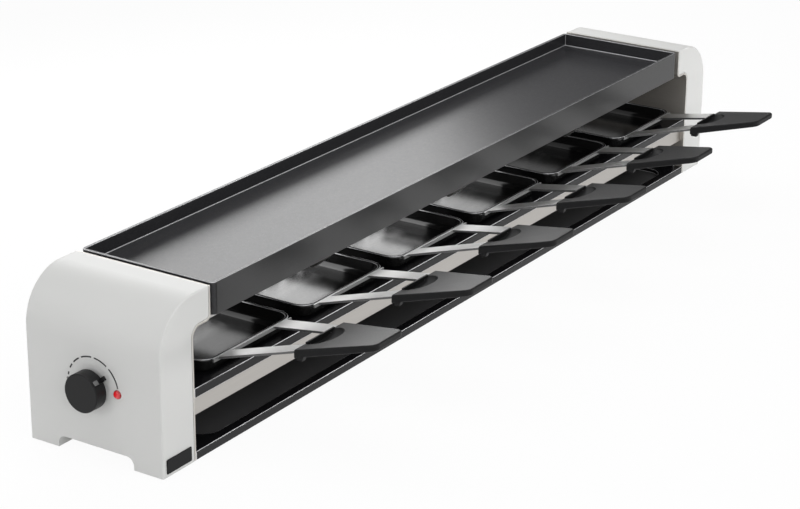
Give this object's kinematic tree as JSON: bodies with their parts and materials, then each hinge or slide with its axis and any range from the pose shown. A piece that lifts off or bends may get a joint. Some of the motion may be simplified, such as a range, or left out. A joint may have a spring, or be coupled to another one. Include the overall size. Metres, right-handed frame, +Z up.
{
  "type": "raclette grill",
  "caption": "Long table-top raclette grill: lift-off grill plate over a row of slide-out pans with handles, base tray, knob and lamp on one end.",
  "frame": {"origin": "middle of the grill body on the table, at the underside of the base tray's middle pad", "axes": "+X along the body towards the end without the knob, +Y to the back, away from the pan handles, +Z up"},
  "size_m": [0.8232, 0.2325, 0.124],
  "materials": {
    "cap_plastic": "satin",
    "lining_steel": "brushed",
    "plate_coat": "satin non-stick coat",
    "rail_steel": "plain",
    "black_enamel": "satin",
    "bright_steel": "bright",
    "pan_coat": "satin non-stick coat",
    "handle_plastic": "matte",
    "sheath_steel": "heat darkened",
    "ceramic": "glazed",
    "zinc_steel": "plated",
    "rivet_metal": "plain",
    "foot_rubber": "matte",
    "knob_plastic": "satin",
    "mark_white": "smooth",
    "shaft_steel": "turned",
    "control_plastic": "matte",
    "lamp_red": "clear tinted",
    "block_plastic": "matte",
    "brass": "turned",
    "inlet_plastic": "matte",
    "blank_metal": "satin"
  },
  "bodies": {
    "grill": {"left_end_cap": "cap_plastic", "right_end_cap": "cap_plastic", "left_side_panel": "lining_steel", "right_side_panel": "lining_steel", "front_rail": "rail_steel", "rear_rail": "rail_steel", "rear_panel": "black_enamel", "pan_shelf": "black_enamel", "heat_shield": "bright_steel", "base_tray": "black_enamel", "heating_element": "sheath_steel", "element_straps": "rail_steel", "element_bushings": "ceramic", "element_terminals": "zinc_steel", "cap_screws": "zinc_steel", "frame_rivets": "rivet_metal", "rubber_feet": "foot_rubber", "thermostat_plate": "zinc_steel", "thermostat": "control_plastic", "thermostat_screws": "zinc_steel", "lamp_lens": "lamp_red", "lamp_holder": "control_plastic", "terminal_block": "block_plastic", "terminal_screws": "brass", "power_inlet": "inlet_plastic", "inlet_pins": "brass", "blank_plate": "blank_metal"},
    "dial": {"control_knob": "knob_plastic", "knob_mark": "mark_white", "thermostat_shaft": "shaft_steel"},
    "plate": {"grill_plate": "plate_coat"},
    "pan_1": {"pan_1_tray": "pan_coat", "pan_1_bracket": "bright_steel", "pan_1_handle": "handle_plastic"},
    "pan_2": {"pan_2_tray": "pan_coat", "pan_2_bracket": "bright_steel", "pan_2_handle": "handle_plastic"},
    "pan_3": {"pan_3_tray": "pan_coat", "pan_3_bracket": "bright_steel", "pan_3_handle": "handle_plastic"},
    "pan_4": {"pan_4_tray": "pan_coat", "pan_4_bracket": "bright_steel", "pan_4_handle": "handle_plastic"},
    "pan_5": {"pan_5_tray": "pan_coat", "pan_5_bracket": "bright_steel", "pan_5_handle": "handle_plastic"},
    "pan_6": {"pan_6_tray": "pan_coat", "pan_6_bracket": "bright_steel", "pan_6_handle": "handle_plastic"}
  },
  "joints": [
    {"name": "knob_turn", "type": "hinge", "parent": "grill", "child": "dial", "pos_m": [-0.405, 0, 0.0544], "axis": [1, 0, 0], "range_deg": [-136, 30]},
    {"name": "plate_lift", "type": "slide", "parent": "grill", "child": "plate", "axis": [0, 0, 1], "range_m": [0, 0.06]},
    {"name": "pan_1_slide", "type": "slide", "parent": "grill", "child": "pan_1", "axis": [0, -1, 0], "range_m": [0, 0.11]},
    {"name": "pan_2_slide", "type": "slide", "parent": "grill", "child": "pan_2", "axis": [0, -1, 0], "range_m": [0, 0.11]},
    {"name": "pan_3_slide", "type": "slide", "parent": "grill", "child": "pan_3", "axis": [0, -1, 0], "range_m": [0, 0.11]},
    {"name": "pan_4_slide", "type": "slide", "parent": "grill", "child": "pan_4", "axis": [0, -1, 0], "range_m": [0, 0.11]},
    {"name": "pan_5_slide", "type": "slide", "parent": "grill", "child": "pan_5", "axis": [0, -1, 0], "range_m": [0, 0.11]},
    {"name": "pan_6_slide", "type": "slide", "parent": "grill", "child": "pan_6", "axis": [0, -1, 0], "range_m": [0, 0.11]}
  ]
}
